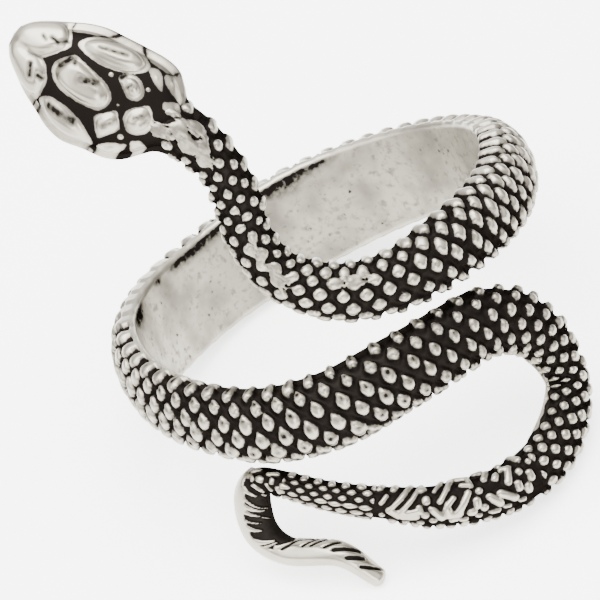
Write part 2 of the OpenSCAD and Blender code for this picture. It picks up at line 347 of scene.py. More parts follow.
# where the grooves are worn shallow, so that the tops almost run together
WORN_PLACES = np.array([
    [4.2, 86, 5.6, 88, 0.02], [5.6, 88, 6.8, 82, 0.02], [6.8, 82, 8.6, 68, 0.02],
    [1.0, 90, 2.6, 60, 0.45], [2.4, 80, 3.3, 78, 0.45], [1.6, 40, 2.6, 40, 0.25],
    [8.7, 72, 9.4, 78, 0.30], [10.2, 72, 11.2, 88, 0.32], [13.7, 58, 14.8, 54, 0.30],
])
print("islands:", len(ISLANDS), "worn places:", len(WORN_PLACES))

# %% Slanted bars and the last scales
# the zigzag on the thin part of the body, and the small tops beside it
BARS = np.array([
    [97.6, 111, 97.4, 139, 0.09], [97.7, 169, 97.6, 190, 0.13], [97.1, 166, 97.0, 190, 0.14],
    [97.2, 90, 96.8, 128, 0.11], [96.8, 128, 96.3, 190, 0.12], [97.2, 87, 96.8, 69, 0.17],
    [96.8, 77, 96.5, 77, 0.17], [96.5, 77, 96.0, 90, 0.17], [96.7, 87, 96.3, 129, 0.10],
    [96.3, 129, 95.8, 190, 0.10], [96.6, 67, 96.1, 72, 0.17], [96.0, 104, 95.9, 88, 0.11],
    [95.9, 158, 95.8, 164, 0.16], [95.7, 128, 95.7, 119, 0.17], [97.5, 68, 97.5, 68, 0.12],
    [97.1, 42, 97.0, 43, 0.09], [96.5, 44, 96.4, 45, 0.09], [95.9, 52, 95.8, 51, 0.10],
    [95.4, 61, 95.3, 61, 0.10], [95.7, 79, 95.7, 78, 0.15], [95.4, 95, 95.0, 69, 0.15],
    [95.5, 100, 95.3, 94, 0.09], [95.3, 149, 94.7, 200, 0.10], [95.1, 116, 94.7, 152, 0.12],
    [94.7, 152, 94.2, 200, 0.14], [94.1, 195, 93.6, 178, 0.15], [94.0, 152, 93.6, 146, 0.13],
    [93.6, 175, 93.6, 142, 0.11], [94.8, 101, 94.5, 120, 0.13], [94.8, 94, 94.7, 76, 0.17],
    [94.7, 74, 94.3, 74, 0.17], [94.3, 79, 93.8, 126, 0.15], [94.6, 57, 94.4, 59, 0.10],
    [93.3, 124, 93.3, 122, 0.15], [93.5, 101, 93.5, 87, 0.17], [93.2, 78, 93.2, 77, 0.17],
    [93.8, 73, 93.7, 72, 0.17], [94.2, 55, 94.0, 55, 0.10], [93.5, 59, 93.4, 58, 0.10],
    [93.1, 191, 92.7, 191, 0.11], [92.6, 176, 92.9, 152, 0.16], [92.3, 149, 92.4, 142, 0.17],
    [92.9, 60, 92.6, 58, 0.11], [92.9, 101, 92.5, 76, 0.17], [92.4, 101, 91.8, 76, 0.17],
    [92.3, 64, 92.1, 62, 0.10], [91.6, 64, 91.4, 62, 0.10], [91.8, 185, 91.8, 180, 0.16],
    [91.9, 160, 91.5, 153, 0.14], [91.6, 151, 91.9, 118, 0.17], [90.9, 192, 90.8, 160, 0.16],
    [91.2, 131, 91.2, 129, 0.17], [90.5, 140, 90.5, 140, 0.15], [90.8, 115, 90.8, 102, 0.17],
    [91.5, 106, 91.5, 94, 0.16], [91.1, 88, 91.1, 79, 0.17],
    # two plain rows of tops on the far flank
    *[[mm, 36, mm, 23, 0.16] for mm in range(91, 98)],
    *[[mm + 0.5, 12, mm + 0.5, -4, 0.17] for mm in range(91, 97)],
])
BARS_FROM, BARS_TO = 90.3, 97.9
# the last scales before the fold
BLOBS = np.array([
    [103.3, 149, 103.5, 123, 0.08], [103.2, 140, 103.2, 122, 0.06], [102.9, 132, 102.9, 123, 0.14],
    [103.2, 101, 103.0, 75, 0.10], [103.3, 105, 103.2, 94, 0.05], [102.9, 65, 102.9, 65, 0.07],
    [102.6, 109, 102.4, 84, 0.07], [102.4, 137, 102.4, 120, 0.09], [102.1, 102, 102.0, 82, 0.10],
    [101.9, 120, 101.9, 113, 0.13], [102.2, 30, 102.6, 14, 0.10], [103.2, 40, 103.3, 20, 0.07],
    [102.3, 166, 102.6, 156, 0.10], [103.0, 172, 103.2, 164, 0.09],
])
BLOBS_FROM, TAIL_FROM = 101.95, 103.45
print("bars:", len(BARS), "last scales:", len(BLOBS))

# %% Belly, ribs and wedges of the last fold
# on the last fold, where the bright belly ends: at mm, degrees
BELLY = np.array([
    [103.2, 170], [103.5, 135], [103.8, 96], [104.1, 88], [104.5, 80], [104.9, 89], [105.4, 85],
    [106.0, 84], [106.7, 81], [107.1, 73], [107.7, 57], [108.0, 30], [108.3, -60],
])
# bright ribs that run from there over the dark flank and taper off
RIBS = np.array([
    [103.7, 111, 103.5, 54, 0.13], [104.0, 93, 104.6, 7, 0.07], [104.4, 86, 104.7, 21, 0.14],
    [104.7, 87, 105.0, 38, 0.12], [105.1, 32, 105.5, 2, 0.03], [105.2, 86, 105.5, 39, 0.06],
    [105.6, 86, 106.0, 46, 0.14], [106.3, 91, 107.1, 37, 0.16], [106.9, 76, 107.3, 38, 0.07],
    [107.4, 58, 108.1, 12, 0.13],
])
# towards the tip only thin wedges are dark
WEDGES = np.array([
    [107.7, 54, 108.4, -4, 0.07], [108.4, 0, 109.1, -12, 0.06], [108.7, 32, 109.3, -12, 0.07],
    [109.1, 29, 109.7, -12, 0.08], [109.7, 36, 110.2, -2, 0.08], [110.1, 44, 111.0, 0, 0.11],
    [110.7, 62, 111.3, 20, 0.11], [111.4, 65, 112.2, 7, 0.09],
])
print("ribs:", len(RIBS), "wedges:", len(WEDGES))

# %% The distance from bars, and the pattern of the last fold
TINY, FAR_MM = 1e-9, 9.0


def capsules(along_mm, degrees, degree_mm, table, taper=0.0):
    """Distance in mm outside the nearest of some bars: to the closest point of the
    line from end to end, less the bar's radius, which may taper towards the far end."""
    best = np.full(along_mm.shape, FAR_MM)
    for from_mm, from_deg, to_mm, to_deg, radius in table:
        x, y = along_mm - from_mm, (degrees - from_deg) * degree_mm
        run, rise = to_mm - from_mm, (to_deg - from_deg) * degree_mm
        share = np.clip((x * run + y * rise) / np.maximum(run**2 + rise**2, TINY), 0, 1)
        apart = np.hypot(x - share * run, y - share * rise)
        best = np.minimum(best, apart - radius * (1 - taper * share))
    return best


TAIL_CONTRAST, RIB_TAPER, RIB_ROOT = 2.0, 0.75, 0.03


def tail_skin(along_mm, degrees, degree_mm):
    """Pattern of the last fold: bright on the belly and on the ribs, dark between the
    ribs and in the wedges. It is so fine that all distances are stretched."""
    belly = (np.interp(along_mm, BELLY[:, 0], BELLY[:, 1]) - degrees) * degree_mm
    ribs = capsules(along_mm, degrees, degree_mm, RIBS, RIB_TAPER)
    wedges = -capsules(along_mm, degrees, degree_mm, WEDGES)
    return TAIL_CONTRAST * np.maximum(soft_least(belly, ribs, RIB_ROOT), wedges)


print("a point 1 mm beside a thin bar lies outside by:",
      capsules(np.ones(1), np.zeros(1), 1.0, [[0, -1, 0, 1, 0.1]]))

# %% [markdown]
# ## The body as one surface
# A ring of points is carried along the route and turned with it. Each ring is the
# body's cross-section: a half ellipse over two low flanks, a small bevel at either
# edge, and the smooth inner wall, which lies exactly on the finger hole. Rings are
# counted by the scale, ten where the body is seen best and six or seven elsewhere, so
# the relief is as fine on a small scale as on a large one. An even spacing in mm would
# not do that.

# %% Rings along, columns around
# mm along the body, rings to a scale
RINGS_PER_SCALE = np.array([
    [0, 10], [29, 10], [31, 7], [56, 7], [58, 10], [102, 10], [104, 6], [112, 6],
])
per_scale = np.interp(fine_length, RINGS_PER_SCALE[:, 0], RINGS_PER_SCALE[:, 1])
ring_count = np.concatenate([[0], np.cumsum(np.diff(fine_count) * per_scale[1:])])
RINGS = int(ring_count[-1])
ring_t = np.interp(np.linspace(0, ring_count[-1], RINGS), ring_count, fine_t)
ring_s = smooth(ROUTE, ring_t)
ring_mm = np.interp(ring_t, fine_t, fine_length)
ring_scale = np.interp(ring_t, fine_t, fine_count)
# the direction at each ring, seen a little ahead and back and then evened over some
# rings by a Gauss bell, so that rings don't cross inside the tight bend
SIGHT, EVEN_MM = 0.03, 0.6
ahead = (spot(smooth(ROUTE, np.minimum(ring_t + SIGHT, len(ROUTE) - 1)))
         - spot(smooth(ROUTE, np.maximum(ring_t - SIGHT, 0))))
ahead /= np.linalg.norm(ahead, axis=1, keepdims=True)
near = np.exp(-((ring_mm[:, None] - ring_mm) / EVEN_MM) ** 2 / 2) * np.gradient(ring_mm)
ahead = near @ ahead
ahead /= np.linalg.norm(ahead, axis=1, keepdims=True)
around_finger = np.radians(ring_s[:, ANGLE])
radial = np.stack([np.sin(around_finger), -np.cos(around_finger), 0 * around_finger], 1)
out = radial - (radial * ahead).sum(1, keepdims=True) * ahead
out /= np.linalg.norm(out, axis=1, keepdims=True)
side = np.cross(out, ahead)

# columns on the dome, on each flank, on each bevel and on the inner wall
DOME, FLANK, BEVEL, WALL = 64, 4, 3, 12
# bevels rise up to RIM_MM and reach HEEL_MM inwards, less where the body is thin
RIM_MM, RIM_OF_EDGE, HEEL_MM, HEEL_OF_HALF = 0.28, 0.5, 0.25, 0.3
# the wall is narrower where the neck stands off the finger by TUCK_GAP
HEEL_TUCK, TUCK_GAP = 0.35, 0.5
half = ring_s[:, WIDE, None] / 2
thick = ring_s[:, THICK, None]
lift = np.clip(ring_s[:, GAP, None] / TUCK_GAP, 0, 1)
edge = FLANK_SHARE * thick
rim = np.minimum(RIM_MM, RIM_OF_EDGE * edge)
heel = (half - np.minimum(HEEL_MM, HEEL_OF_HALF * half)) * (1 - HEEL_TUCK * lift**2)
print("rings along the body:", RINGS)

# %% The cross-section, column by column
dome_deg = np.linspace(0, 180, DOME + 1)[None, :]
share = np.linspace(0, 1, FLANK + 1)[None, 1:]
turn = np.linspace(0, math.pi / 2, BEVEL + 1)[None, 1:]
flank_mm = math.pi / 180 * (1 - FLANK_SHARE) * thick
drop = share * (edge - rim)
parts_y = [half * np.cos(np.radians(dome_deg)), -half + 0 * drop,
           -heel - (half - heel) * np.cos(turn)]
parts_z = [thick * (FLANK_SHARE + (1 - FLANK_SHARE) * np.sin(np.radians(dome_deg))),
           edge - drop, rim * (1 - np.sin(turn))]
parts_deg = [dome_deg + 0 * half, 180 + drop / flank_mm,
             180 + (edge - rim) / flank_mm + 0 * turn]
inner = np.sin(np.linspace(-math.pi / 2, math.pi / 2, WALL + 1))[None, 1:]
parts_y += [heel * inner, heel + (half - heel) * np.sin(turn), half + 0 * drop[:, :-1]]
parts_z += [0 * heel * inner, rim * (1 - np.cos(turn)), rim + drop[:, :-1]]
parts_deg += [90 - 90 * inner + 0 * heel, (rim - edge) / flank_mm + 0 * turn,
              (rim + drop[:, :-1] - edge) / flank_mm]
across_mm = np.concatenate(parts_y, 1)
out_mm = np.concatenate(parts_z, 1)
degrees = np.concatenate(parts_deg, 1)
COLUMNS = across_mm.shape[1]
column = np.arange(COLUMNS)
first_wall = DOME + 1 + FLANK + BEVEL
on_wall = ((column >= first_wall - 1) & (column < first_wall + WALL)).astype(float)
on_bevel = ((column > DOME + FLANK) & (column < first_wall + WALL + BEVEL)).astype(float)
print("cross-section of", COLUMNS, "points, widest", round(2 * float(half.max()), 2), "mm")

# %% [markdown]
# ## The pattern on the body
# Here scales, islands, bars and ribs come together in one distance for every point of
# the skin. Each top could be an object of its own, but a thousand small pieces would
# have to be welded to the body. As one distance they join by themselves, as they do in
# a casting.

# %% How large the tops are, from place to place
# stretches in mm from the nape: the front strand, the right side, and the chain of tops
# that touch each other beside the last scales
FRONT_BEGINS, FRONT_ENDS = (60, 64), (86, 80)
RIGHT_BEGINS, RIGHT_ENDS = (13, 17), (34, 28)
CHAIN_BEGINS, CHAIN_ROWS, CHAIN_LONGER = (96.5, 97.5), (3.6, 3.2), 0.5
# on the front strand tops grow from row to row, on the right they shrink from row 1.5 on
FRONT_GROWS, FRONT_LESS = 0.04, 0.12
RIGHT_SHRINKS, SHRINK_FROM, SHRINK_ROWS = 0.07, 1.5, 4
# how far the outer tops reach over the rim along the tail, as mm, share
OVER_RIM = np.array([[77, 0.3], [80, 0.8], [90, 0.8], [93, 0.3]])
mm_2d = ring_mm[:, None] + 0 * degrees
looks = np.stack([np.interp(mm_2d, LOOKS[:, AT], values) for values in LOOKS.T], -1)
row_mm = np.radians(ROW_STEP) * (half + (1 - FLANK_SHARE) * thick) / 2 + 0 * degrees
pitch_mm = ring_s[:, PITCH, None] + 0 * degrees
row_v = (degrees - 90 - ring_s[:, ROLL, None]) / ROW_STEP + CROWN_ROW
on_front = softstep(*FRONT_BEGINS, mm_2d) * softstep(*FRONT_ENDS, mm_2d)
on_right = softstep(*RIGHT_BEGINS, mm_2d) * softstep(*RIGHT_ENDS, mm_2d)
row_size = (on_front * (FRONT_GROWS * row_v - FRONT_LESS)
            - on_right * RIGHT_SHRINKS * np.clip(row_v - SHRINK_FROM, 0, SHRINK_ROWS))
looks[..., ALONG:POWER] *= (1 + row_size)[..., None]
chain = softstep(*CHAIN_BEGINS, mm_2d) * softstep(*CHAIN_ROWS, row_v)
looks[..., ALONG] *= 1 + CHAIN_LONGER * chain
rim_share = np.interp(mm_2d, OVER_RIM[:, 0], OVER_RIM[:, 1])
print("points:", mm_2d.size, "largest top, share of its row:", round(looks[..., ACROSS].max(), 2))

# %% Scales, islands, bars and ribs in one distance
tops, eyes, free_end = scales(ring_scale[:, None] + 0 * degrees, row_v, looks, pitch_mm, row_mm,
                              rim_share)
degree_mm = row_mm / ROW_STEP
# flecks roughen the worn places: a wave along times a wave around, each bent by a slower
# wave in the other direction; radians in a mm, and degrees in a radian
FLECK_MM, FLECK_SLOW_MM, FLECK_DEG, FLECK_SLOW_DEG, FLECK_BEND = 16, 7, 4, 8, 4
flecks = (np.sin(FLECK_MM * mm_2d + FLECK_BEND * np.sin(degrees / FLECK_SLOW_DEG))
          * np.sin(degrees / FLECK_DEG + FLECK_BEND * np.sin(FLECK_SLOW_MM * mm_2d)))
ISLAND_ROUGH = 0.07
islands = capsules(mm_2d, degrees, degree_mm, ISLANDS) + ISLAND_ROUGH * flecks
bars = capsules(mm_2d, degrees, degree_mm, BARS)
blobs = capsules(mm_2d, degrees, degree_mm, BLOBS)
# the ground between bars, and what the patina takes from each top's edge, in mm
GROUND, EDGE_DARK = 0.13, 0.03
# how soft a worn place's border is, how far it fills the grooves, and how far islands and
# the tail's ribs blend into what is beside them, in mm
WORN_SOFT, WORN_FILL, WORN_FLECKS, ISLAND_JOIN, TAIL_BLEND = 0.15, 0.18, 0.12, 0.04, 0.15
in_bars = (mm_2d > BARS_FROM) & (mm_2d < BARS_TO)
skin = np.where(in_bars | (mm_2d > BLOBS_FROM), GROUND, tops + EDGE_DARK)
worn = softstep(WORN_SOFT, -WORN_SOFT, capsules(mm_2d, degrees, degree_mm, WORN_PLACES))
skin = np.minimum(skin - worn * (WORN_FILL - WORN_FLECKS * flecks), bars)
skin = soft_least(skin, np.minimum(islands, blobs), ISLAND_JOIN)
tail_share = softstep(TAIL_FROM - TAIL_BLEND, TAIL_FROM + TAIL_BLEND, mm_2d)
skin = skin * (1 - tail_share) + tail_skin(mm_2d, degrees, degree_mm) * tail_share
print("share of the dome in grooves:", round(float((skin[:, :DOME] > 0).mean()), 2))

# %% [markdown]
# ## Rims and depth
# Tumbling polishes what stands out, so the inner wall is bright, and the rims are where
# the ring was rubbed most. The same distance then gives the depth. A hard step from top
# to groove would look cut with a knife, so a smooth step leaves a short sloping flank,
# as the edges of a casting have.

# %% Where the rim and the inner wall are bright
# the rims of the back, and the lower rim of the tight bend: at mm, how bright
RIM_BRIGHT = np.array([[26, 0], [32, 1], [60, 1], [65, 0]])
BEND_BRIGHT = np.array([[81, 0], [82.5, 1], [88, 1], [89.5, 0]])
# on the left, over an eighth of the turn, the upper rim was filed smooth: in degrees
FILED_BEGINS, FILED_ENDS, FILED_EDGE = (220, 226), (266, 260), (12, 2)
BRIGHT = -0.25
rim_bright = np.interp(ring_mm, RIM_BRIGHT[:, 0], RIM_BRIGHT[:, 1])[:, None]
only_bevel = on_bevel - on_wall
bend_bright = np.interp(ring_mm, BEND_BRIGHT[:, 0], BEND_BRIGHT[:, 1])[:, None] * (degrees > 90)
rim_bright = np.maximum(rim_bright, bend_bright)
skin = np.where(only_bevel > 0, BRIGHT * rim_bright + skin * (1 - rim_bright), skin)
skin = np.where(on_wall > 0, BRIGHT, skin)
ring_angle = ring_s[:, ANGLE, None]
filed = softstep(*FILED_BEGINS, ring_angle) * softstep(*FILED_ENDS, ring_angle)
filed = filed * softstep(*FILED_EDGE, degrees)
skin = skin + (BRIGHT - skin) * filed
print("share of the skin in grooves:", round(float((skin > 0).mean()), 2))

# %% How deep the relief goes
# grooves are deeper where the body is wide, and shallow on the ribbed tip
GROOVE, ORDINARY_WIDE, DEEPEST, TIP_GROOVE = 0.26, 3.2, 1.25, 0.10
depth = GROOVE * np.minimum(DEEPEST, 2 * half / ORDINARY_WIDE)
depth = depth * (1 - tail_share) + TIP_GROOVE * tail_share
# tops are gently domed over DOME_MM, stand CREST proud, and have a shallow eye
CREST, DOMED, DOME_MM, EYE_DEEP = 0.03, 0.06, 0.30, 0.03
WALL_OF_GROOVE = (-0.05, 0.11)
domed = DOMED * np.clip(1 + skin / DOME_MM, 0, 1) ** 2 * (1 - tail_share)
down = depth * softstep(*WALL_OF_GROOVE, skin) + domed + EYE_DEEP * eyes - CREST
# overlapping scales stand up a little at their free end
SHINGLE, SHINGLE_BEGINS, SHINGLE_ENDS, ON_TOP = 0.025, (14, 20), (68, 60), (0.06, -0.02)
shingled = SHINGLE * softstep(*SHINGLE_BEGINS, mm_2d) * softstep(*SHINGLE_ENDS, mm_2d)
shingled = shingled * np.clip(free_end, -1, 1)
WORN_DOWN = 0.015
down = down - shingled * softstep(*ON_TOP, skin) + WORN_DOWN * worn * (1 + flecks)
# the grooves run out over the bevels and stop at the inner wall
BEVEL_RELIEF = 0.8
relief = np.ones(COLUMNS)
relief[first_wall - BEVEL:first_wall] = BEVEL_RELIEF * np.cos(turn[0])
relief[first_wall:first_wall + WALL] = 0
relief[first_wall + WALL:first_wall + WALL + BEVEL] = BEVEL_RELIEF * np.sin(turn[0])
down = down * relief
print("deepest groove, mm:", round(float(down.max()), 2))

# %% [markdown]
# ## From a grid of points to a closed mesh
# A grid of rings and columns makes four-sided faces, and a point at either end closes
# it. Faces are listed anticlockwise as seen from outside, so the surface points
# outwards, and the printed volume is then more than nothing. The finish that the
# shader needs at each point travels with the mesh as an attribute: distance from the
# edge of a top, which also places the painted shade along that edge, share of plain
# inner wall, and tarnish with the dark reflection painted into each eye.

# %% A helper that builds and checks a closed skin
def closed_skin(name, grid, first_pole, last_pole, finish_and_painted_light):
    """A mesh object from a grid of rings, closed around and at both ends: faces join
    neighbours in the grid, and triangles run from the end rings to the poles."""
    rings, columns = grid.shape[:2]
    points = np.concatenate([grid.reshape(-1, 3), [first_pole, last_pole]])
    i, j = np.meshgrid(np.arange(rings - 1), np.arange(columns), indexing="ij")
    n = (j + 1) % columns
    quads = np.stack([i * columns + j, i * columns + n,
                      (i + 1) * columns + n, (i + 1) * columns + j], -1).reshape(-1, 4)
    k = np.arange(columns)
    k_next = (k + 1) % columns
    first, last = rings * columns, rings * columns + 1
    last_row = (rings - 1) * columns
    start = np.stack([k, 0 * k + first, k_next], 1)
    end = np.stack([last_row + k_next, 0 * k + last, last_row + k], 1)
    mesh = bpy.data.meshes.new(name)
    mesh.from_pydata(points, [], quads.tolist() + start.tolist() + end.tolist())
    mesh.shade_smooth()
    values = np.concatenate([finish_and_painted_light.reshape(-1, 3), finish_and_painted_light[0, :1], finish_and_painted_light[-1, :1]])
    mesh.attributes.new("finish_and_painted_light", "FLOAT_VECTOR", "POINT").data.foreach_set(
        "vector", values.astype(np.float32).ravel())
    piece = bpy.data.objects.new(name, mesh)
    bpy.context.scene.collection.objects.link(piece)
    halves = np.concatenate([quads[:, [0, 1, 2]], quads[:, [0, 2, 3]], start, end])
    a, b, c = (points[halves[:, m]] - points[0] for m in range(3))
    volume = (a * np.cross(b, c)).sum() / 6 / MM**3
    print(name, "triangles:", len(halves), "volume, mm3:", round(volume, 1))
    return piece


# %% [markdown]
# ## Put the body together
# The relief moves each point inwards across the section, the wall is pushed out
# exactly to the finger hole, and a few shrinking rings round off the tail. Where the
# neck stands off the finger its back is simply flat.

# %% The body's points
inward = np.radians(np.clip(degrees, 0, 180))
y = across_mm - down * np.cos(inward)
z = out_mm - down * np.sin(inward)
body = spot(ring_s)[:, None] + y[..., None] * side[:, None] + z[..., None] * out[:, None]
radius = np.hypot(body[..., 0], body[..., 1])
pushed = np.where(radius < HOLE_R, HOLE_R, radius)
# the wall is drawn to the hole where the body lies nearer to the finger than this
HUG_GAP = 0.15
hug = on_wall * (1 - np.clip(ring_s[:, GAP, None] / HUG_GAP, 0, 1))
pushed = pushed + (HOLE_R - pushed) * hug
body[..., :2] *= (pushed / radius)[..., None]

TIP_LONG = 0.35
TIP_RINGS = 6
tip_turn = np.linspace(0, math.pi / 2, TIP_RINGS + 2)[1:-1, None, None]
end_middle = body[-1].mean(0)
tip = (end_middle + (body[-1] - end_middle) * np.cos(tip_turn)
       + ahead[-1] * TIP_LONG * np.sin(tip_turn))
print("nearest to the finger's axis, mm:", round(float(radius.min()), 3))

# %% Tarnish, painted eye reflections, and the body's mesh
# how dark the reflection painted into each eye and the worn places are, and how close
# to a top's edge they reach
EYE_REFLECTION_DARK, WORN_DARK, DARK_SPOT_EDGE = 1.8, 0.45, (0.02, -0.08)
# painted reflection: each eye is darkened as the dark gap where the camera looks in would mirror in
# it; worn places add real tarnish
tarnish_and_reflection = np.maximum(np.clip(EYE_REFLECTION_DARK * eyes, 0, 1), WORN_DARK * worn)
tarnish_and_reflection = tarnish_and_reflection * softstep(*DARK_SPOT_EDGE, skin)
# dark stains on the inner wall, just under its upper rim: degrees round the finger,
# strength, width in mm
STAINS = np.array([
    [158, 0.0, 0.25], [166, 1.2, 0.30], [173, 1.4, 0.40], [177, 1.4, 0.75], [182, 1.4, 0.65],
    [187, 1.3, 0.36], [198, 1.4, 0.36], [215, 1.5, 0.42], [225, 1.4, 0.30], [229, 0.0, 0.25],
    [231, 0.0, 0.25], [233, 1.5, 0.30], [236, 0.6, 0.25], [238, 0.0, 0.25], [247, 0.0, 0.30],
    [251, 1.6, 0.55], [255, 1.9, 0.65], [259, 1.3, 0.50], [266, 0.0, 0.25],
])
STAIN_DARK, WIDTHS_AWAY = 0.95, 9
stain_strength, stain_width = (
    np.interp(ring_s[:, ANGLE], STAINS[:, 0], STAINS[:, k])[:, None] for k in (1, 2))
under_rim = heel - across_mm
stains = stain_strength * np.exp(-np.clip(under_rim / stain_width, 0, WIDTHS_AWAY) ** 2)
tarnish_and_reflection = np.maximum(tarnish_and_reflection, STAIN_DARK * stains * on_wall)
finish_and_painted_light = np.stack([skin, on_wall + 0 * skin, tarnish_and_reflection], -1)
tip_finish_and_painted_light = np.repeat(finish_and_painted_light[-1:], TIP_RINGS, 0)
body_piece = closed_skin(
    "snake_body", place(np.concatenate([body, tip])), place(body[0].mean(0)),
    place(end_middle + TIP_LONG * ahead[-1]), np.concatenate([finish_and_painted_light, tip_finish_and_painted_light]))

# %% [markdown]
# ## The head
# The head is a second loft: rings from nape to snout that are fuller than an ellipse
# at the flanks and bent a little on the neck. The plates on it are cushions with deep
# grooves between them. Each plate is a convex outline; how far a point lies beyond the
# outline is the smooth maximum of its distances beyond the edges, which rounds the
# corners as casting and polishing do.

# %% The head's loft
HEAD_LONG, HEAD_WIDE, HEAD_HIGH = 8.3, 5.6, 2.9
# each row: share of the length, of half the width, of the height for crown and for jaw,
# and mm to the left
HEAD_FORM = np.array([
    [-0.10, 0.42, 0.34, 0.30, -0.44],
    [0.00, 0.49, 0.37, 0.34, -0.40],
    [0.06, 0.66, 0.42, 0.38, -0.40],
    [0.13, 0.86, 0.47, 0.40, -0.30],
    [0.22, 0.96, 0.51, 0.41, -0.17],
    [0.34, 0.98, 0.53, 0.41, -0.05],
    [0.47, 1.00, 0.52, 0.39, 0.12],
    [0.58, 0.95, 0.50, 0.36, 0.10],
    [0.68, 0.83, 0.45, 0.33, 0.05],
    [0.78, 0.68, 0.38, 0.29, 0.08],
    [0.88, 0.50, 0.30, 0.24, 0.05],
    [0.95, 0.34, 0.22, 0.18, 0.05],
    [0.99, 0.18, 0.12, 0.10, 0.05],
])
HEAD_RINGS, HEAD_COLUMNS, HEAD_FULLNESS = 190, 220, 0.8
head_rows = smooth(HEAD_FORM, np.linspace(0, len(HEAD_FORM) - 1, HEAD_RINGS))
head_turn = np.radians(np.linspace(0, 360, HEAD_COLUMNS, endpoint=False))[None, :]
cosine, sine = np.cos(head_turn), np.sin(head_turn)
head_x = head_rows[:, 0, None] * HEAD_LONG + 0 * cosine
head_y = (head_rows[:, 1, None] * HEAD_WIDE / 2 * np.sign(cosine)
          * np.abs(cosine) ** HEAD_FULLNESS + head_rows[:, 4, None])
head_z = np.where(sine > 0, head_rows[:, 2, None], head_rows[:, 3, None]) * HEAD_HIGH * sine
print("head, mm:", HEAD_LONG, "long,", HEAD_WIDE, "wide")

# %% Outlines of the plates
# in mm on the crown, seen from a little to the left of straight above: along from the
# nape, and to the left of the middle
PLATES = [
    [(0.71, 0.11), (0.76, 0.58), (1.13, 1.02), (1.65, 1.12), (2.17, 0.52), (2.10, 0.10),
     (1.38, -0.59), (0.88, -0.15)],
    [(1.98, 1.27), (2.62, 2.24), (3.31, 1.38), (2.56, 0.50)],
    [(1.88, -0.91), (2.00, -0.48), (2.37, -0.34), (3.14, -0.82), (3.37, -1.03),
     (3.21, -1.35), (2.51, -1.58), (2.11, -1.33)],
    [(3.02, 0.41), (3.23, 0.95), (3.78, 1.14), (5.23, 1.19), (5.78, 0.98), (6.16, 0.60),
     (6.22, 0.06), (5.58, -0.82), (5.04, -0.72), (3.74, -0.44), (3.23, -0.12)],
    [(2.65, 2.66), (3.00, 2.90), (3.58, 3.08), (4.40, 3.12), (5.33, 2.85), (5.95, 2.22),
     (5.67, 1.84), (4.85, 1.72), (4.04, 1.85), (3.34, 2.18)],
    [(2.35, -2.19), (2.43, -2.55), (2.84, -2.80), (3.54, -2.88), (4.45, -2.70),
     (5.29, -2.25), (5.72, -1.75), (5.77, -1.37), (5.23, -1.13), (4.44, -1.07),
     (3.46, -1.29), (2.69, -1.72)],
    [(5.94, -0.99), (6.44, -0.25), (6.75, 0.28), (7.65, 0.50), (8.90, 0.50),
     (8.60, -1.40), (7.40, -2.00), (6.51, -2.10), (6.14, -1.42)],
    [(6.66, 0.36), (7.00, 0.30), (8.90, 0.20), (8.60, 1.50), (7.20, 2.20), (6.10, 2.40),
     (6.00, 1.63), (6.05, 1.26)],
    [(1.30, 1.78), (1.35, 2.20), (1.60, 2.70), (2.05, 2.90), (2.48, 2.66), (2.20, 2.26)],
    [(0.45, 1.45), (0.65, 1.85), (1.00, 1.95), (1.20, 1.50), (0.85, 1.25)],
    [(0.05, -1.45), (0.00, -1.25), (0.35, -0.94), (0.75, -0.88), (0.90, -1.21), (0.30, -1.66)],
    [(0.05, -1.70), (0.20, -2.00), (0.62, -2.55), (1.11, -2.75), (1.56, -2.51),
     (1.34, -2.13), (0.96, -1.91)],
    [(1.25, -1.64), (1.82, -1.80), (2.33, -2.29), (2.20, -2.50), (1.80, -2.52)],
]
print("plates:", len(PLATES), "corners:", sum(len(outline) for outline in PLATES))

# %% Small round plates and dark marks
# in mm: from along, left, to along, left, radius
DOTS = np.array([
    [1.84, -1.32, 1.84, -1.32, 0.07],
    [1.75, 1.55, 1.75, 1.55, 0.09],
    [3.69, -0.94, 3.69, -0.94, 0.08],
    [2.65, 0.26, 2.65, 0.26, 0.04],
])
# dark marks in the plates, written the same way
MARKS = np.array([
    [4.84, -1.70, 3.52, -2.11, 0.05],
    [5.39, 2.12, 4.00, 2.14, 0.11],
    [4.77, 0.10, 4.07, -0.16, 0.18],
    [5.69, -0.50, 5.94, 0.06, 0.16],
    [5.40, -0.40, 5.50, -0.55, 0.10],
    [6.60, -0.80, 6.25, -1.20, 0.06],
    [7.00, -0.85, 6.60, -0.80, 0.08],
    [7.40, -0.70, 7.20, -0.60, 0.05],
    [7.17, 0.80, 6.90, 1.30, 0.10],
    [6.60, 1.10, 6.35, 1.20, 0.07],
    [6.80, 0.33, 7.50, 0.42, 0.03],
    [3.21, -1.10, 3.08, -1.32, 0.10],
    [2.70, -0.80, 2.60, -1.00, 0.05],
    [2.73, 1.45, 2.50, 1.15, 0.05],
    [1.69, 0.30, 1.41, 0.00, 0.05],
    [1.25, 0.40, 1.15, 0.15, 0.03],
    [0.73, 1.24, 0.73, 1.24, 0.04],
])
print("round plates:", len(DOTS), "dark marks:", len(MARKS))

# %% How far a point lies beyond an outline
# the outlines were measured from 10 degrees to the left of straight above, on a head that
# is nearer to the camera than the hoop
SEEN_TURN = math.tan(math.radians(10))
NEARER = 1.042
CORNER_MM, SOFT_CORNER_MM = 0.08, 0.2
TOO_FAR = 40


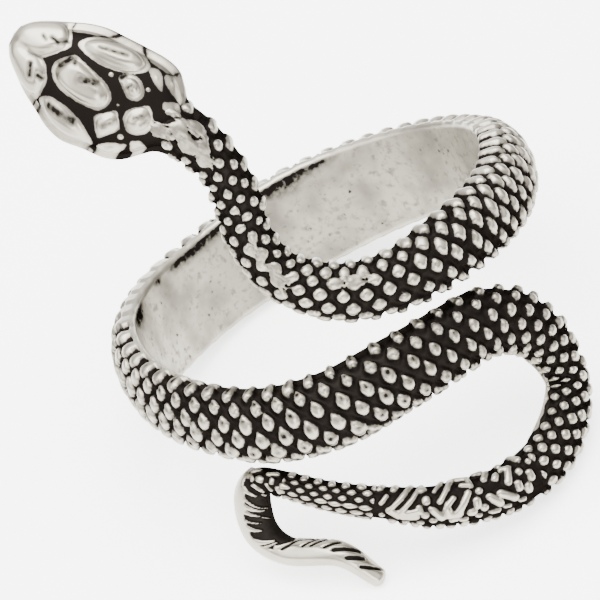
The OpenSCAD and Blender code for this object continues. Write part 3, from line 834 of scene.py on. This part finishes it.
def beyond_outline(x, y, outline, rounding):
    """How far points lie beyond a convex outline: the smooth maximum, by the log of
    summed exponentials, of the distances beyond each of its edges."""
    corners = np.array(outline)
    following = np.roll(corners, -1, 0)
    turning = np.sign(np.sum(corners[:, 0] * following[:, 1] - corners[:, 1] * following[:, 0]))
    run = following - corners
    normal = np.stack([run[:, 1], -run[:, 0]], 1) * turning
    normal /= np.linalg.norm(normal, axis=1, keepdims=True)
    reach = ((x[..., None] - corners[:, 0]) * normal[:, 0]
             + (y[..., None] - corners[:, 1]) * normal[:, 1])
    return rounding * np.log(np.exp(np.clip(reach / rounding, -TOO_FAR, TOO_FAR)).sum(-1))


print("a plate's corners are rounded by, mm:", CORNER_MM)

# %% Plates, lip and jaw
seen_x = head_x * NEARER
seen_y = (head_y + SEEN_TURN * head_z) * NEARER
plate_edge = np.min([beyond_outline(seen_x, seen_y, outline, CORNER_MM) for outline in PLATES], 0)
# on the head both directions are in mm, so what was a degree is a whole mm
HEAD_UNIT = 1.0
plate_edge = np.minimum(plate_edge, capsules(seen_x, seen_y, HEAD_UNIT, DOTS))
# how high the lip runs on either side: at mm from the nape, height in mm
LEFT_LIP = np.array([[0.8, -0.4], [1.8, -0.1], [2.6, 0.12], [6.0, 0.3]])
RIGHT_LIP = np.array([[0.7, -0.4], [1.3, 0.55], [6.0, 0.50]])
LIP_SLOPE, JAW_BRIGHT, CROWN_FROM, PARTING_MM, PLATE_DARK = 0.8, -0.02, -0.4, 0.16, 0.04
left_lip = np.interp(seen_x, LEFT_LIP[:, 0], LEFT_LIP[:, 1])
right_lip = np.interp(seen_x, RIGHT_LIP[:, 0], RIGHT_LIP[:, 1])
lip = (head_z - np.where(seen_y > 0, left_lip, right_lip)) * LIP_SLOPE
# on the crown's side a dark line parts the plates from the lip
parting = np.where(head_z > CROWN_FROM, PARTING_MM - plate_edge, lip)
jaw = np.maximum(np.where(lip < 0, np.minimum(lip, JAW_BRIGHT), lip), parting)
head_skin = np.minimum(plate_edge, jaw) - PLATE_DARK
MARK_EDGE, MARKS_ABOVE = (0.15, -0.10), 0.3
marks = softstep(*MARK_EDGE, capsules(seen_x, seen_y, HEAD_UNIT, MARKS))
marks = marks * (head_z > MARKS_ABOVE)
print("share of the head in grooves:", round(float((head_skin > 0).mean()), 2))

# %% Cushions
cushions = [beyond_outline(seen_x, seen_y, outline, SOFT_CORNER_MM) for outline in PLATES]
# the two plates of the snout share one smooth cushion
SNOUT_PLATES, SNOUT_JOIN = (6, 7), 0.5
cushions.append(soft_least(*(cushions[k] for k in SNOUT_PLATES), SNOUT_JOIN))
cushion = np.minimum(np.min(cushions, 0), capsules(seen_x, seen_y, HEAD_UNIT, DOTS))
# a cushion rises over its outer half millimetre, steeply first, as a parabola
PLATE_GROOVE, CUSHION_MM, CUSHION_START, MARK_DEEP = 0.30, 0.45, 0.05, 0.04
CROWN_FADE = (0.0, 0.35)
rise = 1 - (1 - np.clip(CUSHION_START - cushion / CUSHION_MM, 0, 1)) ** 2
head_down = PLATE_GROOVE * (1 - rise) * softstep(*CROWN_FADE, head_z) + MARK_DEEP * marks
print("deepest groove on the head, mm:", round(float(head_down.max()), 2))

# %% The head's mesh
# where the nape is, and which ways the snout, the left and the crown point, in the frame
# round the finger
nape = np.array([-4.3, -10.7, 10.1])
snout_way = np.array([-0.585, 0.25, 0.77])
snout_way /= np.linalg.norm(snout_way)
rough_crown = [-0.14, -0.97, 0.21]
left_way = np.cross(rough_crown, snout_way)
left_way /= np.linalg.norm(left_way)
crown_way = np.cross(snout_way, left_way)
axes = np.stack([snout_way, left_way, crown_way])
head_local = np.stack([head_x, head_y - head_down * cosine,
                       head_z - head_down * np.maximum(sine, 0)], -1)
head = nape + head_local @ axes
# the wide grooves stay black, the painted shade at the plates' edges reaches further in, and
# the marks are ragged, as edges are
PLATE_EDGE_SHADE_SPREAD, UNRUBBED, RAGGED, MARK_DARK = 0.55, 0.13, 0.005, 1.0
head_seen = np.where(head_skin < 0, PLATE_EDGE_SHADE_SPREAD * head_skin, np.minimum(head_skin, UNRUBBED))
head_seen = np.maximum(head_seen, head_seen + (RAGGED - head_seen) * marks)
head_finish_and_shade = np.stack([head_seen, 0 * head_skin, MARK_DARK * marks], -1)
snout = nape + HEAD_LONG * snout_way
head_piece = closed_skin("snake_head", place(head), place(head[0].mean(0)),
                         place(snout), head_finish_and_shade)

# %% [markdown]
# ## Antique silver
# The real finish is a zinc alloy casting, silver plated, dipped in a black patina and
# then tumbled, so that only the raised places come up bright. The patina's edge is
# never clean: a little noise moves it by some hundredths of a millimetre. The inner
# wall was only brushed by the tumbling and stays satin, with soft clouds, specks and a
# few round pores. Two materials with a painted mask between them could do this, but one
# material that reads the mesh's own distance gives an edge that is sharp at any size.
# Colours are written as the hex values that the eye sees and turned to linear light.

# %% Colours and the one helper for nodes
def linear(hex_colour):
    """sRGB hex to linear light: c/12.92 below 0.04045, else ((c + 0.055)/1.055)^2.4."""
    parts = [int(hex_colour[k:k + 2], 16) / 255 for k in (1, 3, 5)]
    return tuple(c / 12.92 if c <= 0.04045 else ((c + 0.055) / 1.055) ** 2.4 for c in parts) + (1,)


def add(tree, kind, inputs=None, **settings):
    """One node: its settings, then for each input a link, where the value is another
    node's socket, or else a plain value."""
    node = tree.nodes.new(kind)
    for key, value in settings.items():
        setattr(node, key, value)
    for key, value in (inputs or {}).items():
        if isinstance(value, bpy.types.NodeSocket):
            tree.links.new(value, node.inputs[key])
        else:
            node.inputs[key].default_value = value
    return node


SILVER = linear("#a7a193")
SATIN = linear("#a7a295")
# grey of plate rubbed thin, which also paints shade along each top's rounded edge, and the black
# patina of silver sulphide
WORN_AND_SHADE_GREY = linear("#5f5a53")
PATINA = linear("#171412")
WHITE = linear("#ffffff")
print("silver in linear light:", [round(c, 3) for c in SILVER[:3]])

# %% [markdown]
# ## Noise at real sizes
# Nothing in the finish is a picture. The mesh's attribute says how far a point lies
# beyond the edge of the nearest top, in mm, how much of it is plain inner wall, and how
# tarnished it is, with a dark reflection painted into each eye. Four noises at the sizes of the real
# marks make the rest uneven. Their place is the object's own, so the marks stay on the metal when the
# ring is turned.

# %% The attribute and the noises
silver = bpy.data.materials.new("antique_silver_plate_with_patina")
silver.use_nodes = True
metal = silver.node_tree
metal.nodes.clear()
where = add(metal, "ShaderNodeTexCoord").outputs["Object"]
stored = add(metal, "ShaderNodeAttribute", attribute_name="finish_and_painted_light")
stored_parts = add(metal, "ShaderNodeSeparateXYZ", {0: stored.outputs["Vector"]})
# the third part is tarnish together with the dark reflection painted into each eye
edge_out, plain_wall, tarnish_and_reflection_in = (stored_parts.outputs[axis] for axis in "XYZ")
# size in mm, detail and roughness: the patina's ragged edge, pits, clouds and grain
NOISES = {
    "ragged": (0.30, 4.0, 0.5),
    "pits": (0.45, 5.0, 0.7),
    "cloud": (1.8, 3.0, 0.5),
    "grain": (0.12, 3.0, 0.5),
}
noise = {}
for kind, (size, detail, roughness) in NOISES.items():
    made = add(metal, "ShaderNodeTexNoise", {"Vector": where, "Scale": 1 / (size * MM),
                                             "Detail": detail, "Roughness": roughness})
    noise[kind] = made.outputs["Fac"]
print("noises:", list(noise))

# %% The patina's edge
# the noise moves the edge by up to 0.03 mm or so; between two distances from it in mm
# patina grows from nothing to full, and inside it a painted shade greys the top's edge
RAGGED_MOVES, PATINA_EDGE, EDGE_SHADE_RANGE = 0.12, (-0.01, 0.035), (-0.07, 0.01)
centred = add(metal, "ShaderNodeMath", {0: noise["ragged"], 1: 0.5}, operation="SUBTRACT")
moved = add(metal, "ShaderNodeMath", {0: centred.outputs[0], 1: RAGGED_MOVES, 2: edge_out},
            operation="MULTIPLY_ADD")
# in a Map Range inputs 1 and 2 are the range that goes in, 3 and 4 what comes out
dark = add(metal, "ShaderNodeMapRange", {0: moved.outputs[0], 1: PATINA_EDGE[0],
                                         2: PATINA_EDGE[1]}, interpolation_type="SMOOTHSTEP")
edge_shade = add(metal, "ShaderNodeMapRange", {0: moved.outputs[0], 1: EDGE_SHADE_RANGE[0],
                                         2: EDGE_SHADE_RANGE[1]}, interpolation_type="SMOOTHSTEP")
print("the patina's edge is soft over, mm:", round(PATINA_EDGE[1] - PATINA_EDGE[0], 3))

# %% Pits, clouds, specks and pores
# the noise that each soil reads, between which values of it the soil sets in, its strength
SOILS = {
    "pits": ("pits", 0.60, 0.75, 0.35),
    "clouds": ("cloud", 0.40, 0.75, 0.35),
    "wall's clouds": ("cloud", 0.42, 0.80, 0.5),
    "wall's specks": ("ragged", 0.50, 0.72, 0.5),
    "wall's pores": ("pits", 0.48, 0.58, 0.95),
}
soil = {}
for name, (kind, low, high, amount) in SOILS.items():
    made = add(metal, "ShaderNodeMapRange", {0: noise[kind], 1: low, 2: high, 4: amount})
    soil[name] = made.outputs[0]
plate_soil = add(metal, "ShaderNodeMath", {0: soil["pits"], 1: soil["clouds"]},
                 operation="MAXIMUM")
# pores are round: distances from the middles of cells 0.55 mm wide, in shares of a cell
PORE_MM, PORE_ROUND = 0.55, (0.10, 0.26)
cells = add(metal, "ShaderNodeTexVoronoi", {"Vector": where, "Scale": 1 / (PORE_MM * MM)})
pores = add(metal, "ShaderNodeMapRange", {0: cells.outputs["Distance"], 1: PORE_ROUND[0],
                                          2: PORE_ROUND[1], 3: 1.0, 4: 0.0})
some_pores = add(metal, "ShaderNodeMath", {0: pores.outputs[0], 1: soil["wall's pores"]},
                 operation="MULTIPLY")
specks = add(metal, "ShaderNodeMath", {0: soil["wall's clouds"], 1: soil["wall's specks"]},
             operation="MAXIMUM")
wall_marks = add(metal, "ShaderNodeMath", {0: specks.outputs[0], 1: some_pores.outputs[0]},
                 operation="MAXIMUM")
wall_soil = add(metal, "ShaderNodeMath", {0: wall_marks.outputs[0], 1: plain_wall},
                operation="MULTIPLY")
print("soils:", list(soil))

# %% All that is dark
# tarnish and the reflections painted in the eyes are patchy: noise between two values makes
# them weaker or stronger
PATCHY, PATCHY_GIVES = (0.35, 0.65), (0.62, 1.2)
patchy = add(metal, "ShaderNodeMapRange", {0: noise["ragged"], 1: PATCHY[0], 2: PATCHY[1],
                                           3: PATCHY_GIVES[0], 4: PATCHY_GIVES[1]})
patches = add(metal, "ShaderNodeMath", {0: tarnish_and_reflection_in, 1: patchy.outputs[0]},
              operation="MULTIPLY", use_clamp=True)
# it joins the grooves and the wall's marks in one amount of dark
spots = add(metal, "ShaderNodeMath", {0: patches.outputs[0], 1: wall_soil.outputs[0]},
            operation="MAXIMUM")
all_dark = add(metal, "ShaderNodeMath", {0: dark.outputs[0], 1: spots.outputs[0]},
               operation="MAXIMUM")
print("tarnish varies by a factor of", round(PATCHY_GIVES[1] / PATCHY_GIVES[0], 1))

# %% [markdown]
# ## Colour, gloss and grain
# Silver plate is a metal: it has no colour of its own but tints what it mirrors. Tumbled
# tops are nearly a mirror, the wall only gleams, and silver sulphide is close to black
# and dull. A second shader for the patina would do the same. One shader whose colour and
# roughness both follow the amount of dark is quicker, and bakes into plain textures.

# %% Colour
# how much painted shade greys the edge of each top, and how much rubbed metal shows in grey
# streaks in a groove's middle, which begin and are full at these distances in mm
EDGE_SHADE_SHARE, STREAK_SHARE, STREAK_FROM = 0.6, 0.10, (0.13, 0.25)
plate = add(metal, "ShaderNodeMix", {0: plain_wall, 6: SILVER, 7: SATIN}, data_type="RGBA")
dull = add(metal, "ShaderNodeMix", {0: plate_soil.outputs[0], 6: plate.outputs[2], 7: WORN_AND_SHADE_GREY},
           data_type="RGBA")
# painted shade: each top turns grey along its edge, as a rounded edge turned from the light would
edge_shaded = add(metal, "ShaderNodeMath", {0: edge_shade.outputs[0], 1: EDGE_SHADE_SHARE}, operation="MULTIPLY")
bright = add(metal, "ShaderNodeMix", {0: edge_shaded.outputs[0], 6: dull.outputs[2], 7: WORN_AND_SHADE_GREY},
             data_type="RGBA")
middle = add(metal, "ShaderNodeMapRange", {0: edge_out, 1: STREAK_FROM[0], 2: STREAK_FROM[1],
                                           4: STREAK_SHARE})
streaks = add(metal, "ShaderNodeMath", {0: middle.outputs[0], 1: noise["ragged"]},
              operation="MULTIPLY")
patina = add(metal, "ShaderNodeMix", {0: streaks.outputs[0], 6: PATINA, 7: WORN_AND_SHADE_GREY},
             data_type="RGBA")
colour = add(metal, "ShaderNodeMix", {0: all_dark.outputs[0], 6: bright.outputs[2],
                                      7: patina.outputs[2]}, data_type="RGBA")
# patina's glancing light is tinted dark too, or silhouettes would shine grey
glancing = add(metal, "ShaderNodeMix", {0: all_dark.outputs[0], 6: WHITE, 7: PATINA},
               data_type="RGBA")
print("nodes for the colour, so far:", len(metal.nodes))

# %% Gloss, grain and the shader
TOP_ROUGH, WALL_ROUGH, PATINA_ROUGH = 0.29, 0.45, 0.6
# grain and pits together are this deep in mm, felt at this strength
GRAIN_SHARE, GRAIN_DEEP_MM, GRAIN_FELT = 0.25, 0.02, 0.25
satin = add(metal, "ShaderNodeMapRange", {0: plain_wall, 3: TOP_ROUGH, 4: WALL_ROUGH})
rough = add(metal, "ShaderNodeMix", {0: all_dark.outputs[0], 2: satin.outputs[0],
                                     3: PATINA_ROUGH})
unrest = add(metal, "ShaderNodeMath", {0: noise["grain"], 1: GRAIN_SHARE, 2: soil["pits"]},
             operation="MULTIPLY_ADD")
grain = add(metal, "ShaderNodeBump", {"Strength": GRAIN_FELT, "Distance": GRAIN_DEEP_MM * MM,
                                      "Height": unrest.outputs[0]}, invert=True)
shader = add(metal, "ShaderNodeBsdfPrincipled",
             {"Base Color": colour.outputs[2], "Metallic": 1.0,
              "Specular Tint": glancing.outputs[2],
              "Roughness": rough.outputs[0], "Normal": grain.outputs[0]})
add(metal, "ShaderNodeOutputMaterial", {0: shader.outputs[0]})
print("nodes in the material:", len(metal.nodes))

# %% Dress both pieces
for piece in (body_piece, head_piece):
    piece.data.materials.append(silver)
    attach(piece, "root")
    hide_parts("snake_ring")
print("pieces dressed:", body_piece.name, head_piece.name)

# %% [markdown]
# ## Floor
# The ring was photographed on a white sheet that leaves no shadow to speak of, so the
# sheet lies on a light table. A lit floor alone would be grey beside the bright metal. A
# plane that gives light itself, and fades to the sides so that the hoop's flanks are not
# lit from below, does what the table does.

# %% The sheet on the light table
FLOOR_HALF = 400 * MM
floor_mesh = bpy.data.meshes.new("floor")
floor_mesh.from_pydata([(-FLOOR_HALF, -FLOOR_HALF, 0), (FLOOR_HALF, -FLOOR_HALF, 0),
                        (FLOOR_HALF, FLOOR_HALF, 0), (-FLOOR_HALF, FLOOR_HALF, 0)], [], [(0, 1, 2, 3)])
floor = bpy.data.objects.new("floor", floor_mesh)
bpy.context.scene.collection.objects.link(floor)
# uncoated paper: almost white, and matt
PAPER, PAPER_ROUGH = linear("#fcfcfb"), 0.9
paper = bpy.data.materials.new("matt_white_paper")
paper.use_nodes = True
sheet = paper.node_tree
paper_shader = sheet.nodes["Principled BSDF"]
paper_shader.inputs["Base Color"].default_value = PAPER
paper_shader.inputs["Roughness"].default_value = PAPER_ROUGH
paper_shader.inputs["Emission Color"].default_value = WHITE
# from mm to mm to the side of the ring the glow fades from full to none
GLOW, GLOW_FADES = 2.2, (15, 40)
sheet_place = add(sheet, "ShaderNodeTexCoord")
sheet_xyz = add(sheet, "ShaderNodeSeparateXYZ", {0: sheet_place.outputs["Object"]})
sheet_side = add(sheet, "ShaderNodeMath", {0: sheet_xyz.outputs["X"]}, operation="ABSOLUTE")
glow = add(sheet, "ShaderNodeMapRange", {0: sheet_side.outputs[0], 1: GLOW_FADES[0] * MM,
                                         2: GLOW_FADES[1] * MM, 3: GLOW, 4: 0.0},
           interpolation_type="SMOOTHSTEP")
sheet.links.new(glow.outputs[0], paper_shader.inputs["Emission Strength"])
floor_mesh.materials.append(paper)
print("sheet, mm wide:", round(2 * FLOOR_HALF / MM))

# %% [markdown]
# ## Light
# Jewellery is photographed in a white tent, because polished metal shows whatever
# stands round it: light cloth on all sides makes the tops mirror white. The tent here is
# the world's background, brighter towards its roof and dimmer far to the left and right,
# with one darker gap where the camera looks in, which leaves a small dark spot in each
# rounded top. Four soft boxes add shape. An image of a studio could light it too, but
# would have to be read from disk.

# %% Soft boxes
# degrees round the ring and up, metres away, size in metres, power in watts
SOFT_BOXES = {
    "top": (0, 88, 0.30, 0.30, 2.4),
    "left": (-75, 35, 0.30, 0.26, 0.8),
    "right": (75, 35, 0.30, 0.26, 0.3),
    "front": (0, 15, 0.32, 0.16, 0.6),
}


def soft_box(name, azimuth, elevation, away, size, power):
    """A square area light at an angle round the ring, turned to face it."""
    a, e = math.radians(azimuth), math.radians(elevation)
    way = Vector((math.sin(a) * math.cos(e), -math.cos(a) * math.cos(e), math.sin(e)))
    data = bpy.data.lights.new(name, "AREA")
    data.size = size
    data.energy = power
    light = bpy.data.objects.new(name, data)
    light.location = way * away
    light.rotation_euler = way.to_track_quat("Z", "Y").to_euler()
    bpy.context.scene.collection.objects.link(light)


for name, values in SOFT_BOXES.items():
    soft_box(name, *values)
print("soft boxes:", len(SOFT_BOXES))

# %% The tent
# strength low down and overhead; how much is left at the sides and in the gap
TENT_LOW, TENT_HIGH, LEFT_SHARE, RIGHT_SHARE, GAP_SHARE = 0.8, 3.6, 0.4, 0.2, 0.15
# how far up the roof is fully bright, and between which places the sides fade, in shares
# of the way to the zenith and to either side
ROOF_AT, LEFT_FADES, RIGHT_FADES = 0.5, (-0.95, -0.3), (0.2, 0.9)
# the gap is dark up to 10 degrees from the camera's way and ends at 24
GAP_DARK, GAP_ENDS = math.radians(10), math.radians(24)
world = bpy.data.worlds.new("tent")
world.use_nodes = True
tent = world.node_tree
sky_way = add(tent, "ShaderNodeTexCoord").outputs["Generated"]
sky_part = add(tent, "ShaderNodeSeparateXYZ", {0: sky_way})
roof = add(tent, "ShaderNodeMapRange", {0: sky_part.outputs["Z"], 1: 0.0, 2: ROOF_AT,
                                        3: TENT_LOW, 4: TENT_HIGH})
camera_way = add(tent, "ShaderNodeVectorMath", {0: sky_way, 1: lean @ toward},
                 operation="DOT_PRODUCT")
gap = add(tent, "ShaderNodeMapRange", {0: camera_way.outputs["Value"], 1: math.cos(GAP_ENDS),
                                       2: math.cos(GAP_DARK), 3: 1.0, 4: GAP_SHARE},
          interpolation_type="SMOOTHSTEP")
left_light = add(tent, "ShaderNodeMapRange", {0: sky_part.outputs["X"], 1: LEFT_FADES[0],
                                              2: LEFT_FADES[1], 3: LEFT_SHARE})
right_light = add(tent, "ShaderNodeMapRange", {0: sky_part.outputs["X"], 1: RIGHT_FADES[0],
                                               2: RIGHT_FADES[1], 3: 1.0, 4: RIGHT_SHARE})
sides = add(tent, "ShaderNodeMath", {0: left_light.outputs[0], 1: right_light.outputs[0]},
            operation="MULTIPLY")
walls = add(tent, "ShaderNodeMath", {0: roof.outputs[0], 1: sides.outputs[0]},
            operation="MULTIPLY")
strength = add(tent, "ShaderNodeMath", {0: walls.outputs[0], 1: gap.outputs[0]},
               operation="MULTIPLY")
background = tent.nodes["Background"]
background.inputs["Color"].default_value = WHITE
tent.links.new(strength.outputs[0], background.inputs["Strength"])
bpy.context.scene.world = world
print("nodes in the tent:", len(tent.nodes))
